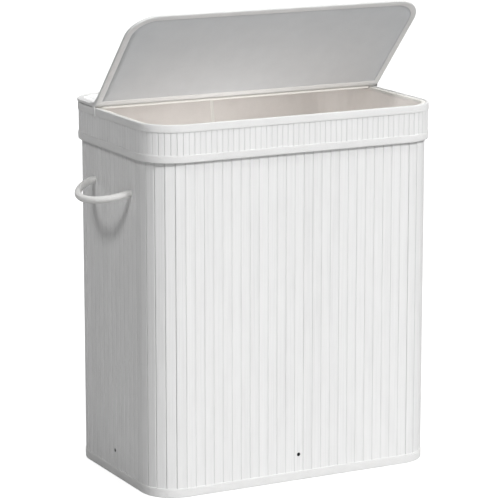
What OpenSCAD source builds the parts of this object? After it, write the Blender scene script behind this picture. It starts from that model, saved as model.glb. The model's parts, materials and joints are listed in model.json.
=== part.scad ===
// Laundry hamper with a lift-off lid. Vertical slats are glued to a cloth lining and bent into
// a rounded box, cloth binding closes every edge, and the lid is a slatted collar that carries
// a fixed rear panel and a hinged front flap. Two rope loops are the handles, and a cloth bag
// hangs inside from the rim.
// Millimetres, +Z up. The origin is the middle of the base, on the floor. The front faces -Y.

/* [Body] */
// Width over the slats, left to right
body_w = 508; // [420:1:640]
// Depth over the slats, front to rear
body_d = 318; // [270:1:420]
// Height of the top edge of the lid's collar
rim_z = 600; // [460:1:760]
// Radius of the vertical corners over the slats
corner_r = 55; // [42:1:80]
// How far the body's own rim stays below the collar's top edge
rim_drop = 1; // [0.6:0.1:6]

/* [Slats] */
// Thickness of one slat
slat_t = 2; // [1.4:0.1:3]
// Wanted spacing of the body slats; it is rounded to a whole number round the outline
body_pitch = 16; // [10:0.5:24]
// Wanted spacing of the narrow slats of the collar and the lid panels
lid_pitch = 9.6; // [7:0.2:14]
// Open groove between two slats
slat_gap = 0.6; // [0.3:0.1:1.5]

/* [Cloth] */
// Lining cloth glued behind the slats
lining_t = 0.8; // [0.5:0.1:1.6]
// Binding tape, folded over an edge
binding_t = 0.8; // [0.5:0.1:1.6]
// Height of the binding along the base
base_binding_h = 15; // [10:1:24]
// Height of the binding along the body's rim
rim_binding_h = 12; // [8:1:20]
// Width of the strip that closes the slat curtain at the rear
seam_w = 36; // [20:1:60]

/* [Hoops] */
// Thickness of the bent strips that keep the body square
hoop_t = 2; // [1.5:0.1:4]
// Height of those strips
hoop_h = 26; // [18:1:40]

/* [Lid] */
// Height of the collar
collar_h = 60; // [40:1:90]
// Height of the two bindings round the collar
collar_binding_h = 12; // [8:1:18]
// Free space between the body's rim and the collar, all round
collar_clearance = 0.5; // [0.4:0.1:3]
// How far the lid panels reach over the collar
lid_overhang = 1.6; // [0.5:0.1:8]
// Radius of the flap's two front corners
flap_corner_r = 48; // [30:1:65]
// Radius of the rear panel's two rear corners
rear_corner_r = 64; // [30:1:85]
// Free height between the collar and the lid panels
lid_seat_gap = 1.6; // [0.6:0.1:4]
// Thickness of the boards in the lid panels
board_t = 1.2; // [1:0.1:5]
// Width of the binding that shows on each face of a lid panel
panel_binding_w = 10; // [6:0.5:18]

/* [Hinge] */
// Distance of the hinge line behind the middle of the lid
hinge_y = 51; // [20:0.5:80]
// Slot between the two lid panels
hinge_gap = 1; // [0.8:0.1:3]
// Thickness of the hinge tape
tape_t = 0.5; // [0.3:0.1:1]
// Width of the hinge tape on each panel
tape_w = 14; // [8:1:24]
// Angle at which the flap stands open
flap_open = 46.5; // [0:0.5:170]
// Width of the rail under the rear panel's front edge
rail_w = 10; // [6:0.5:20]
// Height of that rail, from the panel down
rail_h = 4.2; // [2:0.1:10]
// Free space between the rail's ends and the liner's cuff
rail_clearance = 1; // [0.5:0.1:4]
// How far the seam under the rear panel is set in from the collar's outer face
seam_inset = 1.6; // [0.5:0.1:3]
// Width of the tabs that tie the hinge ends to the collar
tab_w = 7; // [5:0.5:12]
// How far the tabs reach down the collar
tab_h = 14; // [12:1:30]

/* [Handles] */
// Diameter of the rope
rope_d = 11.5; // [8:0.5:14]
// Distance between the two holes of one handle
rope_span = 136; // [100:1:170]
// How far the loop reaches beyond its hinge axis
rope_reach = 47; // [36:1:60]
// How far the loop is from an ellipse (1) towards straight legs (2)
loop_bow = 1.2; // [1:0.05:1.4]
// Free height between the collar and a loop that is swung up
loop_headroom = 7.25; // [4:0.25:90]
// Slope of the loop below level
handle_droop = 17.6; // [0:0.1:45]
// Free space round the rope in its hole
rope_hole_clearance = 0.5; // [0.3:0.1:1.5]
// Free space between the loop's round end and the wall
rope_wall_gap = 0.75; // [0.5:0.05:2]
// Width of the washers' rings behind the wall
washer_ring = 5.25; // [4:0.25:9]
// Thickness of those washers
washer_t = 1.5; // [1:0.1:3]
// Width of the ring on which a knot bears against its washer
knot_seat = 0.65; // [0.4:0.05:2.5]
// Bevel round both ends of a knot
knot_bevel = 2.1; // [1:0.1:3]
// Length of the knots
knot_l = 7; // [6.5:0.5:12]

/* [Base] */
// Height of the middle of the battens
batten_z = 43; // [36:1:70]
// Width of one batten
batten_w = 18; // [12:1:30]
// Height of one batten
batten_h = 16; // [10:1:24]
// Free space in the halved joint where the battens cross
halving_gap = 0.2; // [0.1:0.1:0.6]
// Thickness of the base board
base_board_t = 3; // [2:0.5:8]
// Free space round the base board
base_board_gap = 1.5; // [1:0.5:6]
// Diameter of a screw's head, which sits in the slat
screw_head_d = 6; // [4:0.1:7]
// Thickness of that head
screw_head_t = 1.5; // [1:0.1:2.5]
// Diameter of a screw's shank
screw_d = 3; // [2.5:0.1:4]
// Length of a screw under its head
screw_l = 25; // [16:1:40]
// Width of the two slots of the cross in its head
screw_slot_w = 0.7; // [0.5:0.1:1]
// Depth of that cross
screw_slot_t = 0.8; // [0.4:0.1:0.9]
// Depth of the screw holes beyond the screws' tips
screw_tip_gap = 2; // [1:0.5:4]
// Free space round the screws
screw_clearance = 0.1; // [0.05:0.05:0.4]

/* [Liner] */
// Thickness of the liner cloth
cloth_t = 0.6; // [0.4:0.1:1.2]
// Thickness of the cuff that is folded over the rim
cuff_t = 0.4; // [0.3:0.1:0.8]
// Length of the cuff on either side of the rim
cuff_h = 34; // [20:1:60]
// Free space between the bag and the knots, or the rim if there is more room there
bag_slack = 1.2; // [0.6:0.1:8]

/* [Hidden] */
$fn = 96;
eps = 0.5;      // how far a cutting shape runs past what it cuts
touch = 0.02;   // space left between pieces that only touch

// Offsets are measured outwards from the outer face of the body slats.
lining_out = -slat_t;
lining_in = lining_out - lining_t;
hoop_in = lining_in - hoop_t;
rim_binding_in = hoop_in - binding_t;
cuff_out = binding_t + cuff_t;
cuff_in = rim_binding_in - cuff_t;
collar_in = cuff_out + collar_clearance;
collar_lining_in = collar_in + binding_t;
collar_slat_in = collar_lining_in + lining_t;
collar_slat_out = collar_slat_in + slat_t;
collar_out = collar_slat_out + binding_t;
knot_in = lining_in - washer_t - knot_l;
bag_out = min(knot_in, cuff_in) - bag_slack;

// Heights
cuff_top = rim_z - rim_drop;
body_top = cuff_top - cuff_t;
wall_top = body_top - binding_t;
wall_base = binding_t;
collar_z = rim_z - collar_h;
board_z = batten_z + batten_h / 2 + touch;
bag_z = board_z + base_board_t + bag_slack;
bag_top = cuff_top - cuff_h;

// Lid panels, from their underside up
panel_z = rim_z + lid_seat_gap;
panel_board_z = panel_z + binding_t;
panel_slat_z = panel_board_z + board_t;
panel_top = panel_slat_z + slat_t + binding_t;
hinge_z = panel_top + tape_t;
lid_half_w = body_w / 2 + collar_out + lid_overhang;
lid_half_d = body_d / 2 + collar_out + lid_overhang;

rope_r = rope_d / 2;
rope_hole_r = rope_r + rope_hole_clearance;
knot_face_r = rope_hole_r + knot_seat;
handle_x = body_w / 2 + rope_r + rope_wall_gap;
handle_z = collar_z - loop_headroom - rope_reach - rope_r;
rope_sides = 12;
rope_rings = 25;
cap_rings = 4;

white = "#e9eaea";
cloth_white = "#dfe0e0";
ivory = "#f0ede3";
bare_wood = "#d9c49c";

// ---- the rounded outline and the slats along it ----

module rounded_plate(w, d, r) {
    square([w - 2 * r, d], center = true);
    square([w, d - 2 * r], center = true);
    for (x = [-1, 1], y = [-1, 1])
        translate([x * (w / 2 - r), y * (d / 2 - r)]) circle(r);
}

module outline(o) rounded_plate(body_w + 2 * o, body_d + 2 * o, corner_r + o);

// A wall that follows the outline between two offsets and two heights
module band(outer, inner, z0, z1)
    translate([0, 0, z0]) linear_extrude(z1 - z0) difference() {
        outline(outer);
        outline(inner);
    }

// Binding folded over an edge: outer and inner are the faces it closes
module binding_over_top(outer, inner, top, h) difference() {
    band(outer + binding_t, inner - binding_t, top - h, top);
    band(outer, inner, top - h - eps, top - binding_t);
}

module binding_under_base(outer, inner, base, h) difference() {
    band(outer + binding_t, inner - binding_t, base, base + h);
    band(outer, inner, base + binding_t, base + h + eps);
}

// Half the flat of the front and of a side
half_front = body_w / 2 - corner_r;
half_side = body_d / 2 - corner_r;

// A corner arc, and a quarter of the way round, along the outline at offset o
function arc_length(o) = PI / 2 * (corner_r + o);
function quarter(o) = half_front + arc_length(o) + half_side;

// Slats in a quarter of the way round, and their true spacing
function quarter_count(o, pitch) = round(quarter(o) / pitch);
function true_pitch(o, pitch) = quarter(o) / quarter_count(o, pitch);

// Place and outward direction a distance u from the middle of the front, in one quarter
function quarter_place(u, o) =
    u <= half_front ? [u, body_d / 2 + o, 0] :
    u >= half_front + arc_length(o) ? [body_w / 2 + o, quarter(o) - u, 90] :
    let (a = (u - half_front) / (corner_r + o) * 180 / PI)
    [half_front + (corner_r + o) * sin(a), half_side + (corner_r + o) * cos(a), a];

// Slat number i: 0 is the middle of the front, and they are counted clockwise from above
function slat_u(i, n, pitch) = let (k = i % n, odd = floor(i / n) % 2) (odd == 1 ? n - k : k) * pitch;
function slat_sign(i, n) = let (q = floor(i / n) % 4) [q < 2 ? -1 : 1, q == 0 || q == 3 ? -1 : 1];

// Which run a slat belongs to: any part of a corner slat may stand on the arc
function run_of(i, n, pitch, o) =
    let (u = slat_u(i, n, pitch), s = slat_sign(i, n), reach = (pitch - slat_gap) / 2)
    u + reach <= half_front ? (s[1] < 0 ? "front" : "rear") :
    u - reach >= half_front + arc_length(o) ? (s[0] < 0 ? "left" : "right") :
    "corner";

// One slat as a flat bar, standing on the outline at offset o
module slat_bar(i, n, pitch, o, from, to, z0, z1) {
    p = quarter_place(slat_u(i, n, pitch), o);
    s = slat_sign(i, n);
    w = pitch - slat_gap;
    translate([s[0] * p[0], s[1] * p[1], z0])
        rotate(atan2(s[1] * cos(p[2]), s[0] * sin(p[2])))
            translate([from, -w / 2, 0]) cube([to - from, w, z1 - z0]);
}

module slat_run(run, o, wanted_pitch, z0, z1) {
    n = quarter_count(o, wanted_pitch);
    pitch = true_pitch(o, wanted_pitch);
    for (i = [0 : 4 * n - 1])
        if (run_of(i, n, pitch, o) == run) slat_bar(i, n, pitch, o, 0, slat_t, z0, z1);
}

// The corner slats are cut to the curve on both faces, so that they lie flat on the lining
module corner_slat_run(o, wanted_pitch, z0, z1) {
    n = quarter_count(o, wanted_pitch);
    pitch = true_pitch(o, wanted_pitch);
    intersection() {
        band(o + slat_t, o, z0, z1);
        for (i = [0 : 4 * n - 1])
            if (run_of(i, n, pitch, o) == "corner")
                slat_bar(i, n, pitch, o, -slat_t, 2 * slat_t, z0 - eps, z1 + eps);
    }
}

// ---- holes shared by the pieces of the wall ----

module rope_holes() for (y = [-1, 1]) translate([0, y * rope_span / 2, handle_z])
    rotate([0, 90, 0]) cylinder(r = rope_hole_r, h = body_w + 2 * eps, center = true);

module screw_holes(d) {
    translate([0, 0, batten_z]) rotate([0, 90, 0])
        cylinder(d = d, h = body_w + 2 * eps, center = true);
    translate([0, 0, batten_z]) rotate([90, 0, 0])
        cylinder(d = d, h = body_d + 2 * eps, center = true);
}

screw_slat_hole = screw_head_d + 2 * screw_clearance;
screw_hole = screw_d + 2 * screw_clearance;

// ---- body ----

module body_slats(run) difference() {
    slat_run(run, lining_out, body_pitch, wall_base + touch, wall_top - touch);
    screw_holes(screw_slat_hole);
    if (run == "left" || run == "right") rope_holes();
}

module front_slats() color(white) body_slats("front");
module rear_slats() color(white) body_slats("rear");
module left_slats() color(white) body_slats("left");
module right_slats() color(white) body_slats("right");
module corner_slats() color(white)
    corner_slat_run(lining_out, body_pitch, wall_base + touch, wall_top - touch);

module body_lining() color(cloth_white) difference() {
    band(lining_out, lining_in, wall_base + touch, wall_top - touch);
    rope_holes();
    screw_holes(screw_hole);
}

module rear_seam_strip() color(cloth_white)
    translate([-seam_w / 2, body_d / 2 + lining_in - lining_t, batten_z + hoop_h / 2 + touch])
        cube([seam_w, lining_t, wall_top - hoop_h - batten_z - hoop_h / 2 - 2 * touch]);

module top_hoop() color(bare_wood) band(lining_in, hoop_in, wall_top - hoop_h, wall_top - touch);

module base_hoop() color(bare_wood) difference() {
    band(lining_in, hoop_in, batten_z - hoop_h / 2, batten_z + hoop_h / 2);
    screw_holes(screw_hole);
}

module body_top_binding() color(cloth_white)
    binding_over_top(0, hoop_in, body_top, rim_binding_h);

module base_binding() color(cloth_white)
    binding_under_base(0, lining_in, 0, base_binding_h);

// ---- base ----

// One batten along X, with half its height left at the crossing
module batten(length, keep_top) difference() {
    translate([0, 0, batten_z]) cube([length, batten_w, batten_h], center = true);
    translate([0, 0, batten_z + (keep_top ? -1 : 1) * (batten_h / 4 + eps / 2 - halving_gap / 4)])
        cube([batten_w + 2 * halving_gap, batten_w + 2 * eps, batten_h / 2 + eps + halving_gap / 2],
             center = true);
    for (side = [0, 180]) rotate(side)
        translate([length / 2 - batten_hole_l, 0, batten_z]) rotate([0, 90, 0])
            cylinder(d = screw_d + 2 * touch, h = batten_hole_l + eps);
}

batten_hole_l = screw_l - lining_t - hoop_t + screw_tip_gap;

module long_batten() color(bare_wood) batten(body_w + 2 * hoop_in - 2 * touch, false);
module short_batten() color(bare_wood) rotate(90) batten(body_d + 2 * hoop_in - 2 * touch, true);

module base_board() color(bare_wood) translate([0, 0, board_z]) linear_extrude(base_board_t)
    outline(hoop_in - base_board_gap);

// A screw that points along -X, with the underside of its head at the origin
module screw() rotate([0, 90, 0]) {
    difference() {
        cylinder(d = screw_head_d, h = screw_head_t);
        for (turn = [0, 90]) rotate(turn)
            translate([-screw_d / 2, -screw_slot_w / 2, screw_head_t - screw_slot_t])
                cube([screw_d, screw_slot_w, screw_slot_t + eps]);
    }
    translate([0, 0, -screw_l]) cylinder(d = screw_d, h = screw_l + touch);
}

module batten_screws() color("#202020") for (side = [0 : 3]) rotate(90 * side)
    translate([(side % 2 == 0 ? body_w : body_d) / 2 + lining_out + touch, 0, batten_z]) screw();

// ---- liner ----

module liner_cuff() color(ivory) difference() {
    band(cuff_out, cuff_in, cuff_top - cuff_h, cuff_top);
    band(cuff_out - cuff_t, cuff_in + cuff_t, cuff_top - cuff_h - eps, cuff_top - cuff_t);
}

module liner_bag() color("#ddd2c4") {
    band(cuff_in, bag_out - cloth_t, bag_top - cloth_t - touch, bag_top - touch);
    band(bag_out, bag_out - cloth_t, bag_z, bag_top - touch);
    translate([0, 0, bag_z]) linear_extrude(cloth_t) outline(bag_out);
}

// ---- handles ----

module at_rope_holes() for (side = [0, 1], y = [-1, 1]) mirror([side, 0, 0])
    translate([0, y * rope_span / 2, handle_z]) rotate([0, 90, 0]) children();

module rope_washers() color(white) at_rope_holes()
    translate([0, 0, body_w / 2 + lining_in - washer_t - touch]) difference() {
        cylinder(r = rope_hole_r + washer_ring, h = washer_t);
        translate([0, 0, -eps]) cylinder(r = rope_hole_r, h = washer_t + 2 * eps);
    }

// The rope's end: it comes through the wall and ends in a knot behind the washer
module rope_knots() color(ivory) at_rope_holes() {
    translate([0, 0, body_w / 2 + knot_in]) rotate_extrude() polygon([
        [0, 0], [knot_face_r, 0],
        [knot_face_r + knot_bevel, knot_bevel], [knot_face_r + knot_bevel, knot_l - knot_bevel],
        [knot_face_r, knot_l - 2 * touch], [0, knot_l - 2 * touch]
    ]);
    translate([0, 0, body_w / 2 + knot_in + knot_l / 2])
        cylinder(r = rope_r, h = -knot_in - knot_l / 2 + rope_wall_gap / 2);
}

// The loop is a bowed half ellipse in its own plane: X leads away from the wall, Y along it
function loop_centre(t) = [rope_reach * pow(max(sin(t), 0), loop_bow), rope_span / 2 * cos(t), 0];
function loop_heading(t) = let (s = max(sin(t), 0.0001))
    atan2(-rope_span / 2 * s, rope_reach * loop_bow * pow(s, loop_bow - 1) * cos(t));

// A ring of points round a centre, across a heading in the XY plane
function ring(centre, heading, r) = [
    for (j = [0 : rope_sides - 1]) let (a = 360 * j / rope_sides)
        centre + r * [-cos(a) * sin(heading), cos(a) * cos(heading), sin(a)]
];

// The round end of the rope, as rings of growing radius; side is 1 at the start, -1 at the end
function cap(side) = [
    for (k = [1 : cap_rings]) let (b = 90 * k / (cap_rings + 1))
        ring([-rope_r * cos(b), side * rope_span / 2, 0], side > 0 ? 0 : 180, rope_r * sin(b))
];

function loop_rings() = [
    for (k = [0 : rope_rings - 1]) let (t = 180 * k / (rope_rings - 1))
        ring(loop_centre(t), loop_heading(t), rope_r)
];

function reversed(list) = [for (k = [len(list) - 1 : -1 : 0]) list[k]];

module tube(rings) {
    n = rope_sides;
    last = len(rings) - 1;
    polyhedron(
        points = [for (r = rings) each r],
        faces = concat(
            [[for (j = [0 : n - 1]) j]],
            [for (k = [0 : last - 1], j = [0 : n - 1])
                [k * n + (j + 1) % n, k * n + j, (k + 1) * n + j, (k + 1) * n + (j + 1) % n]],
            [[for (j = [n - 1 : -1 : 0]) last * n + j]]
        )
    );
}

module rope_loop() translate([handle_x, 0, handle_z]) rotate([0, handle_droop, 0])
    tube(concat(cap(1), loop_rings(), reversed(cap(-1))));

module left_handle_rope() color(ivory) mirror([1, 0, 0]) rope_loop();
module right_handle_rope() color(ivory) rope_loop();

// ---- collar of the lid ----

module collar_slats(run)
    slat_run(run, collar_slat_in, lid_pitch, collar_z + binding_t + touch, rim_z - binding_t - touch);

module collar_front_slats() color(white) collar_slats("front");
module collar_rear_slats() color(white) collar_slats("rear");
module collar_left_slats() color(white) collar_slats("left");
module collar_right_slats() color(white) collar_slats("right");
module collar_corner_slats() color(white)
    corner_slat_run(collar_slat_in, lid_pitch, collar_z + binding_t + touch, rim_z - binding_t - touch);

module collar_lining() color(cloth_white)
    band(collar_slat_in, collar_lining_in, collar_z + binding_t + touch, rim_z - binding_t - touch);

module collar_top_binding() color(white)
    binding_over_top(collar_slat_out, collar_lining_in, rim_z, collar_binding_h);

module collar_base_binding() color(white)
    binding_under_base(collar_slat_out, collar_lining_in, collar_z, collar_binding_h);

// ---- lid panels ----

// The flap's outline, drawn in by inset: round corners at the front, square at the hinge
module flap_plate(inset) {
    w = lid_half_w - inset;
    front = -lid_half_d + inset;
    back = hinge_y - hinge_gap / 2 - inset;
    r = flap_corner_r - inset;
    translate([-w + r, front]) square([2 * (w - r), back - front]);
    translate([-w, front + r]) square([2 * w, back - front - r]);
    for (x = [-1, 1]) translate([x * (w - r), front + r]) circle(r);
}

// The rear panel's outline: square at the hinge, round corners at the back
module rear_plate(inset) {
    w = lid_half_w - inset;
    front = hinge_y + hinge_gap / 2 + inset;
    back = lid_half_d - inset;
    r = rear_corner_r - inset;
    translate([-w + r, front]) square([2 * (w - r), back - front]);
    translate([-w, front]) square([2 * w, back - front - r]);
    for (x = [-1, 1]) translate([x * (w - r), back - r]) circle(r);
}

module plate(rear, inset) {
    if (rear) rear_plate(inset);
    else flap_plate(inset);
}

// A layer of a panel. The rear corners are wider than half the panel, so it ends at the hinge
module slab(rear, inset, z, t) translate([0, 0, z]) intersection() {
    linear_extrude(t) plate(rear, inset);
    translate([-body_w, rear ? hinge_y + hinge_gap / 2 + inset : -body_d, -eps])
        cube([2 * body_w, 2 * body_d, t + 2 * eps]);
}

// Binding round a panel: the whole rim, less the panel's core and the faces it leaves bare
module panel_binding(rear) difference() {
    slab(rear, 0, panel_z, panel_top - panel_z);
    slab(rear, binding_t, panel_board_z, panel_top - binding_t - panel_board_z);
    slab(rear, panel_binding_w, panel_z - eps, panel_top - panel_z + 2 * eps);
}

module panel_slats(rear) {
    half_count = ceil(lid_half_w / lid_pitch);
    intersection() {
        slab(rear, binding_t + touch, panel_slat_z + touch, slat_t - 2 * touch);
        for (i = [-half_count : half_count])
            translate([i * lid_pitch - (lid_pitch - slat_gap) / 2, -lid_half_d, panel_slat_z])
                cube([lid_pitch - slat_gap, 2 * lid_half_d, slat_t]);
    }
}

module rear_panel_board() color(bare_wood)
    slab(true, binding_t + touch, panel_board_z + touch, board_t - touch);
module rear_panel_slats() color(white) panel_slats(true);
module rear_panel_lining() color(cloth_white)
    slab(true, panel_binding_w + touch, panel_z, binding_t);
module rear_panel_binding() color(white) panel_binding(true);

// Welt of folded cloth that ties the rear panel to the collar, round three sides
module rear_panel_seam() color(cloth_white) intersection() {
    band(collar_out - seam_inset, collar_lining_in, rim_z + touch, panel_z - touch);
    translate([-body_w, hinge_y + hinge_gap / 2, rim_z]) cube([2 * body_w, body_d, lid_seat_gap]);
}

// Cloth-covered strip that stiffens the rear panel's front edge, inside the liner's cuff
rail_l = body_w + 2 * (cuff_in - rail_clearance);

module rear_panel_rail() color(ivory)
    translate([-rail_l / 2, hinge_y + hinge_gap / 2, panel_z - rail_h - touch])
        cube([rail_l, rail_w, rail_h]);

module hinge_tape_rear() color(white) translate([-lid_half_w, hinge_y + hinge_gap / 2, panel_top + touch])
    cube([2 * lid_half_w, tape_w, tape_t - touch]);

// Short tabs from the hinge ends down the outside of the collar, clear of the shut flap
module hinge_end_tabs() color(white) for (side = [0, 1]) mirror([side, 0, 0])
    translate([body_w / 2 + collar_out + touch, hinge_y - tab_w / 2, rim_z - tab_h])
        cube([tape_t, tab_w, tab_h + lid_seat_gap / 2]);

// The flap's pieces are drawn shut, then turned open about the hinge line
module opened() translate([0, hinge_y, hinge_z]) rotate([-flap_open, 0, 0])
    translate([0, -hinge_y, -hinge_z]) children();

module flap_board() color(bare_wood) opened()
    slab(false, binding_t + touch, panel_board_z + touch, board_t - touch);
module flap_slats() color(white) opened() panel_slats(false);
module flap_lining() color("#c9caca") opened()
    slab(false, panel_binding_w + touch, panel_z, binding_t);
module flap_binding() color(white) opened() panel_binding(false);
module hinge_tape_flap() color(white) opened()
    translate([-lid_half_w, hinge_y - hinge_gap / 2 - tape_w, panel_top + touch])
        cube([2 * lid_half_w, tape_w, tape_t - touch]);

front_slats();
rear_slats();
left_slats();
right_slats();
corner_slats();
body_lining();
rear_seam_strip();
top_hoop();
base_hoop();
body_top_binding();
base_binding();
long_batten();
short_batten();
base_board();
batten_screws();
liner_bag();
liner_cuff();
rope_washers();
rope_knots();
left_handle_rope();
right_handle_rope();
collar_front_slats();
collar_rear_slats();
collar_left_slats();
collar_right_slats();
collar_corner_slats();
collar_lining();
collar_top_binding();
collar_base_binding();
rear_panel_board();
rear_panel_slats();
rear_panel_lining();
rear_panel_binding();
rear_panel_seam();
rear_panel_rail();
hinge_tape_rear();
hinge_end_tabs();
flap_board();
flap_slats();
flap_lining();
flap_binding();
hinge_tape_flap();
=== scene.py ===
# %% [markdown]
# # A slatted laundry hamper with a lift-off lid
#
# The hamper is a box of white bamboo slats glued to cloth. Cloth tape binds every edge, a
# cotton bag hangs inside from the rim, two rope loops are the handles, and the lid is a
# slatted collar with a fixed rear panel and a hinged front flap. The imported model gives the
# place and motion of every piece, so this script only dresses it.

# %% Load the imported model
import json

import bpy
import numpy as np
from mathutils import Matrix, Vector


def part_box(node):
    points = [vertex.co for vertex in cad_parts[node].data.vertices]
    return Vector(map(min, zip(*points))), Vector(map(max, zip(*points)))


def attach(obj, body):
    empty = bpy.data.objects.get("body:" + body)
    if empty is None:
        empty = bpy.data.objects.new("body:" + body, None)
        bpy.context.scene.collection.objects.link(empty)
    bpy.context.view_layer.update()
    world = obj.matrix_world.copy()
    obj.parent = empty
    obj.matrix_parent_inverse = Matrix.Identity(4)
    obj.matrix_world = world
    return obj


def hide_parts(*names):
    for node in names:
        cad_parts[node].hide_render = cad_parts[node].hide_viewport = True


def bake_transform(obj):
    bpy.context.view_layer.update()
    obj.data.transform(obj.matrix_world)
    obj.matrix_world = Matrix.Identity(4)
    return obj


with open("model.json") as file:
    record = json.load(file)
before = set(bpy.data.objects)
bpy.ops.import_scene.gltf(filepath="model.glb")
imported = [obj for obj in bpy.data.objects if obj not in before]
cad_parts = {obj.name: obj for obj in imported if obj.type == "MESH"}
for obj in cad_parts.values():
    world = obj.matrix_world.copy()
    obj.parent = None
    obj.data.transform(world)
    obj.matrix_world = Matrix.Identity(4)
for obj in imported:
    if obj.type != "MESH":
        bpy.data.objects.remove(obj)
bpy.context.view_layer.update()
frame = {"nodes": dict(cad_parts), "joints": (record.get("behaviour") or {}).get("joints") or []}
MM = 0.001

# %% Object and shader helpers


def add_object(name, data):
    made = bpy.data.objects.new(name, data)
    bpy.context.scene.collection.objects.link(made)
    return made


def new_material(name, roughness=0.6, sheen=0.0, specular=0.5):
    """An empty material with one Principled shader, and its node tree."""
    material = bpy.data.materials.new(name)
    material.use_nodes = True
    shader = material.node_tree.nodes["Principled BSDF"]
    shader.inputs["Roughness"].default_value = roughness
    shader.inputs["Sheen Weight"].default_value = sheen
    shader.inputs["Sheen Roughness"].default_value = 0.4
    shader.inputs["Specular IOR Level"].default_value = specular
    return material, material.node_tree, shader


def node(tree, kind, **values):
    """Adds a shader node and sets its inputs by name, or its settings where no input fits."""
    made = tree.nodes.new("ShaderNode" + kind)
    for key, value in values.items():
        if key in made.inputs:
            made.inputs[key].default_value = value
        else:
            setattr(made, key, value)
    return made


def arithmetic(tree, operation, first, second):
    """A Math node; either side is a socket or a number."""
    made = node(tree, "Math", operation=operation)
    for socket, value in zip(made.inputs, (first, second)):
        if isinstance(value, (int, float)):
            socket.default_value = value
        else:
            tree.links.new(value, socket)
    return made.outputs[0]


# %% [markdown]
# ## Camera and light
#
# A long lens seen from the front left and a little above keeps the uprights nearly parallel.
# A soft sun high at the front right lights the front face and casts the short dark line under
# the collar. A weaker one at the left does the same for the side wall, and faint suns from
# above, the front, the right and the back keep the rims, the open flap's underside and the far
# faces readable. A dim lamp inside stands for the light that the white bag bounces about.

# %% Camera
AZIMUTH, ELEVATION = -27.5, 12.14
DISTANCE = 4.258
AIM = Vector((-0.0048, 0.0025, 0.3515))
FOCAL_MM, SENSOR_MM = 185.9, 36.0


def way_to(azimuth, elevation):
    """Unit vector towards a place in the sky, in degrees: azimuth 0 is the front and positive
    the right, elevation lifts above level."""
    a, e = np.radians(azimuth), np.radians(elevation)
    return Vector((np.sin(a) * np.cos(e), -np.cos(a) * np.cos(e), np.sin(e)))


def add_camera():
    """A camera on a ray from the aim point."""
    data = bpy.data.cameras.new("camera")
    data.lens = FOCAL_MM
    data.sensor_width = SENSOR_MM
    data.clip_end = 40.0
    camera = add_object("camera", data)
    back = way_to(AZIMUTH, ELEVATION)
    camera.location = AIM + back * DISTANCE
    camera.rotation_euler = back.to_track_quat("Z", "Y").to_euler()
    bpy.context.scene.camera = camera


add_camera()

# %% Lamps, surround and floor


def add_sun(name, azimuth, elevation, strength, spread):
    """A sun that shines from a place in the sky; spread is its width in degrees."""
    data = bpy.data.lights.new(name, "SUN")
    data.energy = strength
    data.angle = np.radians(spread)
    lamp = add_object(name, data)
    lamp.rotation_euler = way_to(azimuth, elevation).to_track_quat("Z", "Y").to_euler()


def add_inner_lamp(place, power):
    """A weak round lamp down inside the hamper, for the light that a white bag bounces about."""
    data = bpy.data.lights.new("inner", "POINT")
    data.energy = power
    data.shadow_soft_size = 0.1
    lamp = add_object("inner", data)
    lamp.location = place
    lamp.visible_camera = False


def add_surround(fill, seen):
    """The surround lights the object with fill and shows as the brighter value seen."""
    world = bpy.data.worlds.new("surround")
    bpy.context.scene.world = world
    world.use_nodes = True
    tree = world.node_tree
    tree.nodes.clear()
    out, mix, path = (node(tree, kind) for kind in ("OutputWorld", "MixShader", "LightPath"))
    for slot, strength in ((1, fill), (2, seen)):
        light = node(tree, "Background", Color=(1, 1, 1, 1), Strength=strength)
        tree.links.new(light.outputs[0], mix.inputs[slot])
    tree.links.new(path.outputs["Is Camera Ray"], mix.inputs["Fac"])
    tree.links.new(mix.outputs[0], out.inputs["Surface"])


def add_floor(lift):
    """A matt white floor. What the camera sees of it is lifted towards white, as on a lit
    table, so that only the closest contact shadow shows."""
    bpy.ops.mesh.primitive_plane_add(size=60)
    floor = bpy.context.object
    floor.name = "floor"
    material, tree, shader = new_material("floor", roughness=1.0, specular=0.0)
    shader.inputs["Base Color"].default_value = (0.4, 0.4, 0.4, 1)
    shader.inputs["Emission Color"].default_value = (1, 1, 1, 1)
    seen = node(tree, "LightPath").outputs["Is Camera Ray"]
    tree.links.new(arithmetic(tree, "MULTIPLY", seen, lift), shader.inputs["Emission Strength"])
    floor.data.materials.append(material)


bpy.context.scene.view_settings.view_transform = "Standard"
add_surround(fill=0.03, seen=1.0)
add_floor(lift=0.8)
for name, azimuth, elevation, strength, spread in (
    ("key", 18, 38, 2.27, 16),
    ("side", -62, 50, 0.96, 12),
    ("top", -30, 86, 0.3, 40),
    ("front", -10, 10, 0.39, 20),
    ("back", 160, 32, 1.2, 40),
    ("right", 88, 35, 0.5, 40),
):
    add_sun(name, azimuth, elevation, strength, spread)
add_inner_lamp((-0.03, 0.02, 0.40), power=0.85)

# %% [markdown]
# ## Sizes
#
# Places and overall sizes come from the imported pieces. Only what a box can't tell is named
# here: the corner radius, the cloth and slat thicknesses and the wanted slat spacings.

# %% Sizes
CORNER_R = 55 * MM
SLAT_T = 2 * MM
BODY_GAP = 0.16 * MM
LID_GAP = 0.12 * MM
CLOTH_T = 0.8 * MM
BODY_PITCH = 16 * MM
LID_PITCH = 9.6 * MM
FLAP_CORNER_R = 48 * MM
REAR_CORNER_R = 64 * MM
HINGE_CORNER_R = 2.5 * MM
ROPE_D = 11.5 * MM
FLAP_OPEN = np.radians(46.5)
CRISP_ANGLE = np.radians(40)

BODY_X = -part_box("left_slats")[0][0]
BODY_Y = -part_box("front_slats")[0][1]
COLLAR_OUT = -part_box("collar_front_slats")[0][1] - BODY_Y
print("body", 2 * BODY_X, "by", 2 * BODY_Y, "collar slats stand out", COLLAR_OUT)

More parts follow.
